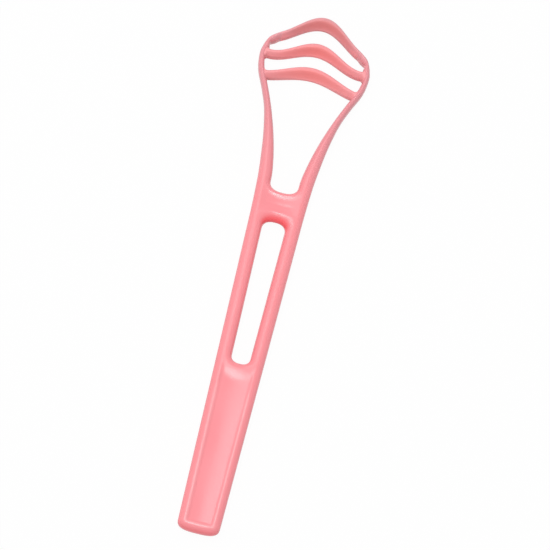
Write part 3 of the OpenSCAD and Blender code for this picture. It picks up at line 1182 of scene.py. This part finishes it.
@dataclass(frozen=True)
class Finish:
    """A finish of the moulded plastic, with a colour, a polish and fine marks."""

    name: str
    colour: tuple[float, float, float]
    # Colour of the painted shade, which the random clouds of tone use too
    deep: tuple[float, float, float]
    # Painted fall-off of light: the colour is multiplied by it over a run towards the head
    tint: tuple[float, float, float]
    head_shade_run: tuple[float, float]
    roughness: float
    marks: float
    relief: float = 0.08
    relief_height: float = 0.00002
    ior: float = 1.49

    @property
    def material(self) -> bpy.types.Material:
        """The material of this finish, made on first use."""
        found = bpy.data.materials.get(self.name)
        return found if found else self.make()

    def make(self) -> bpy.types.Material:
        """Builds the material.

        Returns:
            A Principled plastic whose tone, polish and relief come from shared groups.
        """
        material = bpy.data.materials.new(self.name)
        material.use_nodes = True
        w = NodeWriter(material.node_tree)
        shader = material.node_tree.nodes["Principled BSDF"]
        spot = w.node("ShaderNodeTexCoord").outputs["Object"]
        # Painted shade and highlight come from the mesh's point attribute
        depth = w.node("ShaderNodeAttribute", attribute_name=SHADE_AND_HIGHLIGHT)
        tone = w.node("ShaderNodeGroup", node_tree=tone_group())
        polish = w.node("ShaderNodeGroup", node_tree=polish_group())
        bump = w.node("ShaderNodeBump")
        look = {"Colour": self.colour, "Deep Colour": self.deep, "Tint": self.tint}
        w.fill(tone, {label: (*colour, 1) for label, colour in look.items()})
        w.fill(tone, {"Place": spot, "Depth": depth.outputs["Fac"]})
        w.fill(tone, {"Tint Start": self.head_shade_run[0], "Tint End": self.head_shade_run[1]})
        w.fill(polish, {"Place": spot, "Roughness": self.roughness, "Marks": self.marks})
        w.fill(bump, {"Strength": self.relief, "Distance": self.relief_height})
        w.fill(bump, {"Height": polish.outputs["Height"]})
        w.fill(shader, {"Base Color": tone.outputs["Colour"], "Normal": bump.outputs[0]})
        w.fill(shader, {"Roughness": polish.outputs["Roughness"], "IOR": self.ior})
        return material

    def dress(self, made: bpy.types.Object, node: str) -> bpy.types.Object:
        """Gives a piece its place in the model, and hides the CAD node that it stands for.

        Args:
            made: The finished mesh object.
            node: The CAD node.

        Returns:
            The same object.
        """
        if not made.data.materials:
            made.data.materials.append(self.material)
        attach(made, ROOT)
        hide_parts(node)
        return made


def tone_group() -> bpy.types.NodeTree:
    """Shader group for the tone: painted shade and highlight, a painted fall-off of light towards
    the head, and slow clouds.

    Returns:
        The group, with a place, painted shade, two colours and a painted fall-off with its run in,
        and a colour out.
    """
    name = "plastic tone"
    if name in bpy.data.node_groups:
        return bpy.data.node_groups[name]
    colours = dict.fromkeys(("Colour", "Deep Colour", "Tint"), "Color")
    numbers = dict.fromkeys(("Depth", "Tint Start", "Tint End"), "Float")
    sockets = {"Place": "Vector", **numbers, **colours}
    w = NodeWriter.group(name, "ShaderNodeTree", sockets, {"Colour": "Color"})
    given = w.given()
    cloud = w.noise(given["Place"], CLOUD_SCALE, CLOUD_DETAIL)
    drift = w.smooth(cloud, *CLOUD_RUN) * CLOUD_DEPTH
    # Painted shade: the colour darkens towards the head, where less light falls
    along = w.parts(given["Place"])[1]
    painted_falloff = w.smooth(along, given["Tint Start"], given["Tint End"])
    # The deeper of the painted shade and the random clouds sets the share of the deep colour
    deeper = w.math("MAXIMUM", given["Depth"], drift)
    # Painted highlight and sheen pale the colour towards white
    painted_sheen = w.math("MAXIMUM", given["Depth"] * -1, 0)
    colour = w.tinge(deeper, given["Colour"], given["Deep Colour"])
    colour = w.tinge(painted_sheen, colour, WHITE)
    colour = w.tinge(painted_falloff, colour, given["Tint"], "MULTIPLY")
    w.join(colour, w.node("NodeGroupOutput").inputs[0])
    return w.tree


def polish_group() -> bpy.types.NodeTree:
    """Shader group for the polish: fine scuffs in the roughness and in the relief.

    Returns:
        The group, with a place, a roughness and an amount of marks in, and a roughness and a
        height out.
    """
    name = "handled polish"
    if name in bpy.data.node_groups:
        return bpy.data.node_groups[name]
    sockets = {"Place": "Vector", "Roughness": "Float", "Marks": "Float"}
    results = {"Roughness": "Float", "Height": "Float"}
    w = NodeWriter.group(name, "ShaderNodeTree", sockets, results)
    given = w.given()
    grain = w.noise(given["Place"], GRAIN_SCALE, GRAIN_DETAIL)
    stretch = w.node("ShaderNodeMapping")
    place = w.fill(stretch, {"Vector": given["Place"], "Scale": SCUFF_STRETCH})
    scuff = w.smooth(w.noise(place, 1.0, SCUFF_DETAIL), *SCUFF_RUN) * given["Marks"]
    rough = given["Roughness"] + (grain - 0.5) * GRAIN_POLISH + scuff * SCUFF_POLISH
    out = w.node("NodeGroupOutput")
    w.join(rough, out.inputs["Roughness"])
    w.join(grain * GRAIN_HEIGHT + scuff, out.inputs["Height"])
    return w.tree


@dataclass(frozen=True)
class Lamp:
    """A soft box that faces the middle of the scraper."""

    name: str
    place: tuple[float, float, float]
    size: tuple[float, float]
    power: float

    def hang(self) -> None:
        """Adds the lamp to the scene."""
        data = bpy.data.lights.new(self.name, "AREA")
        data.shape = "RECTANGLE"
        data.size, data.size_y = self.size
        data.energy = self.power
        lamp = linked(self.name, data)
        turn = (-Vector(self.place)).to_track_quat("-Z", "Y").to_matrix().to_4x4()
        lamp.matrix_world = Matrix.Translation(self.place) @ turn
        lamp.visible_camera = False


@dataclass(frozen=True)
class Studio:
    """Floor, soft light and surroundings that are plain white where they are seen."""

    lamps: tuple[Lamp, ...] = (
        Lamp("key", (-0.1, 0.0, 1.0), (0.7, 0.22), 1.42),
        Lamp("crown", (-0.04, 0.0, 1.0), (0.2, 0.2), 1.0),
        Lamp("over", (-0.35, 0.1, 1.0), (0.3, 0.3), 0.8),
        Lamp("rim", (-0.25, 0.75, 0.7), (0.25, 0.25), 0.35),
        Lamp("left", (-0.3, 0.375, 0.87), (0.5, 0.5), 1.0),
    )
    sky_axis: tuple[float, float, float] = (-0.3, 0.0, 0.954)
    sky_high: float = 0.78
    sky_low: float = 0.42
    sky_climb: float = 0.9
    floor_reach: float = 3.0
    floor_albedo: float = 0.8
    floor_white: float = 0.96

    def build(self) -> None:
        """Builds the floor, the lamps and the world."""
        self.floor()
        self.world()
        for lamp in self.lamps:
            lamp.hang()
        bpy.context.scene.view_settings.view_transform = "Standard"

    def floor(self) -> None:
        """Adds a floor that is lit and shaded a little, and else plain white where it is seen."""
        mesh = bpy.data.meshes.new("floor")
        far = self.floor_reach
        corners = [(-far, -far, 0), (far, -far, 0), (far, far, 0), (-far, far, 0)]
        mesh.from_pydata(corners, [], [(0, 1, 2, 3)])
        material = bpy.data.materials.new("floor")
        material.use_nodes = True
        w = NodeWriter(material.node_tree)
        nodes = material.node_tree.nodes
        nodes.remove(nodes["Principled BSDF"])
        paper = w.node("ShaderNodeBsdfDiffuse")
        paper.inputs["Color"].default_value = (*[self.floor_albedo] * 3, 1)
        glow = w.node("ShaderNodeEmission")
        both = w.shown(self.floor_white, paper.outputs[0], glow.outputs[0])
        w.join(both, nodes["Material Output"].inputs[0])
        mesh.materials.append(material)
        linked("floor", mesh)

    def world(self) -> None:
        """Gives soft light from all round, and plain white where the camera looks past."""
        world = bpy.data.worlds.new("studio")
        bpy.context.scene.world = world
        world.use_nodes = True
        w = NodeWriter(world.node_tree)
        nodes = world.node_tree.nodes
        soft = nodes["Background"]
        along = w.node("ShaderNodeVectorMath", operation="DOT_PRODUCT")
        w.fill(along, {0: w.node("ShaderNodeTexCoord").outputs["Generated"], 1: self.sky_axis})
        climb = w.smooth(along.outputs["Value"], 0.0, self.sky_climb)
        w.join(w.blend(self.sky_low, self.sky_high, climb), soft.inputs["Strength"])
        white = w.node("ShaderNodeBackground")
        for background in (soft, white):
            background.inputs["Color"].default_value = WHITE
        both = w.shown(1.0, soft.outputs[0], white.outputs[0])
        w.join(both, nodes["World Output"].inputs[0])


@dataclass(frozen=True)
class View:
    """The camera, tilted towards the handle end, with the head leaning to the right."""

    tilt: float = 22.0
    lean: float = 14.05
    distance: float = 900.0
    lens: float = 198.06
    target: tuple[float, float, float] = (0.0, 0.0, 2.2)
    aim_right: float = 3.32
    aim_up: float = -2.32
    sensor: float = 36.0
    clip: tuple[float, float] = (0.01, 20.0)

    def place(self) -> None:
        """Adds the camera and makes it the scene's."""
        tilt, lean = math.radians(self.tilt), math.radians(self.lean)
        back = Vector((0, -math.sin(tilt), math.cos(tilt)))
        level = Vector((1, 0, 0))
        rise = back.cross(level)
        right = math.cos(lean) * level + math.sin(lean) * rise
        up = back.cross(right)
        aim = Vector(self.target) + self.aim_right * right + self.aim_up * up
        data = bpy.data.cameras.new("camera")
        data.lens, data.sensor_width = self.lens, self.sensor
        data.clip_start, data.clip_end = self.clip
        camera = linked("camera", data)
        turn = Matrix((right, up, back)).transposed().to_4x4()
        camera.matrix_world = Matrix.Translation((aim + self.distance * back) * MM) @ turn
        bpy.context.scene.camera = camera


def main() -> None:
    """Builds the view, the studio and the regions of the scraper in order."""
    logging.basicConfig(level=logging.INFO, format="%(message)s")
    View().place()
    Studio().build()
    body = Finish(
        name="pink moulding",
        colour=(0.93, 0.283, 0.313),
        # Colour of the painted shade, also used by the random clouds
        deep=(0.95, 0.12, 0.14),
        # Painted fall-off of light towards the head
        tint=(0.85, 1.0, 1.0),
        head_shade_run=(0.015, 0.06),
        roughness=0.2,
        marks=0.05,
    )
    polished = Finish(
        name="pink blades",
        colour=(0.9, 0.335, 0.355),
        # Colour of the painted shade, also used by the random clouds
        deep=(0.93, 0.25, 0.245),
        # Painted fall-off of light towards the head
        tint=(0.84, 0.94, 0.95),
        head_shade_run=(0.0745, 0.078),
        roughness=0.5,
        marks=0.05,
    )
    pieces = HandlePlate().build(body)
    pieces += [Arm(side).build(body) for side in Side]
    d = DRAWING
    blades = (
        ArchedBlade("tip_blade", offset=0.0, rise=d.tip_rise, span=d.tip_span, reach=d.shoulder_x),
        ArchedBlade(
            "middle_blade",
            offset=9.2,
            rise=5.7,
            span=14.3,
            reach=16.0,
            root_start=14.65,
            root_front=0.9,
            root_back=0.5,
            root_rise=0.8,
            root_slant=-0.45,
        ),
        ArchedBlade(
            "rear_blade",
            offset=17.6,
            rise=4.8,
            span=16.6,
            reach=15.2,
            root_start=13.0,
            root_front=1.1,
            root_back=0.1,
            root_rise=0.8,
            root_slant=0.6,
        ),
    )
    pieces += [blade.build(polished) for blade in blades]
    for piece in pieces:
        LOG.info("%s: %d faces", piece.name, len(piece.data.polygons))


if __name__ == "__main__":
    main()
